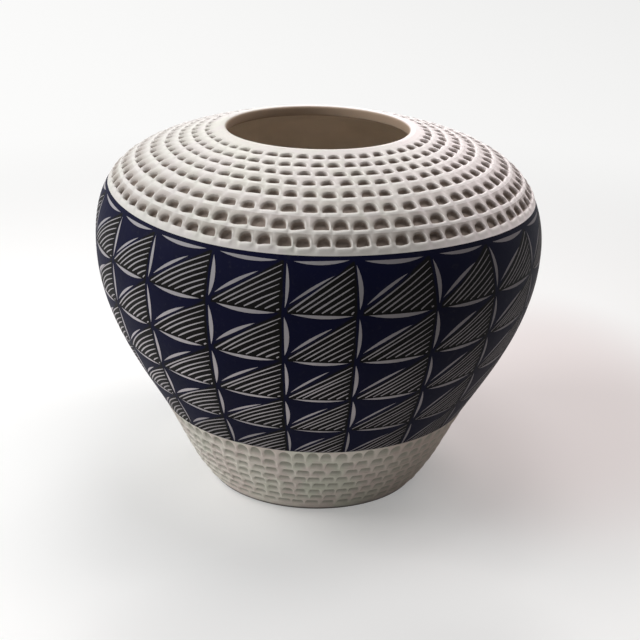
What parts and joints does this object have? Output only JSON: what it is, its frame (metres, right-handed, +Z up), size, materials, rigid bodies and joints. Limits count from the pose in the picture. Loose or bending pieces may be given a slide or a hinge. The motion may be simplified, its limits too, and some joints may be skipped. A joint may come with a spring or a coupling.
{
  "type": "pueblo pottery vase",
  "caption": "Wide-shouldered coil-built pottery vase with an imprinted white shoulder and foot and a dark slip band cut with hatched triangles and leaf marks.",
  "frame": {"origin": "centre of the underside, on the surface that the vase stands on", "axes": "+Z up the vase's axis of revolution; -Y is the side that the picture shows"},
  "size_m": [0.2308, 0.2308, 0.19],
  "materials": {
    "shoulder_clay": "matte, burnished white clay with pressed imprints",
    "foot_clay": "matte, pale clay with shallow scale imprints",
    "body_clay": "matte, bare scraped clay",
    "dark_slip": "satin blue-black slip with marks cut to the pale clay"
  },
  "bodies": {
    "root": {"base_slab": "body_clay", "foot_coil_1": "foot_clay", "foot_coil_2": "foot_clay", "foot_coil_3": "foot_clay", "foot_coil_4": "foot_clay", "foot_coil_5": "foot_clay", "foot_coil_6": "foot_clay", "foot_coil_7": "foot_clay", "foot_coil_8": "foot_clay", "belly_coil_1": "body_clay", "belly_coil_2": "body_clay", "belly_coil_3": "body_clay", "belly_coil_4": "body_clay", "belly_coil_5": "body_clay", "slip_band": "dark_slip", "shoulder_coil_1": "shoulder_clay", "shoulder_coil_2": "shoulder_clay", "shoulder_coil_3": "shoulder_clay", "shoulder_coil_4": "shoulder_clay", "shoulder_coil_5": "shoulder_clay", "shoulder_coil_6": "shoulder_clay", "shoulder_coil_7": "shoulder_clay", "shoulder_coil_8": "shoulder_clay", "rim_coil": "shoulder_clay"}
  },
  "joints": []
}
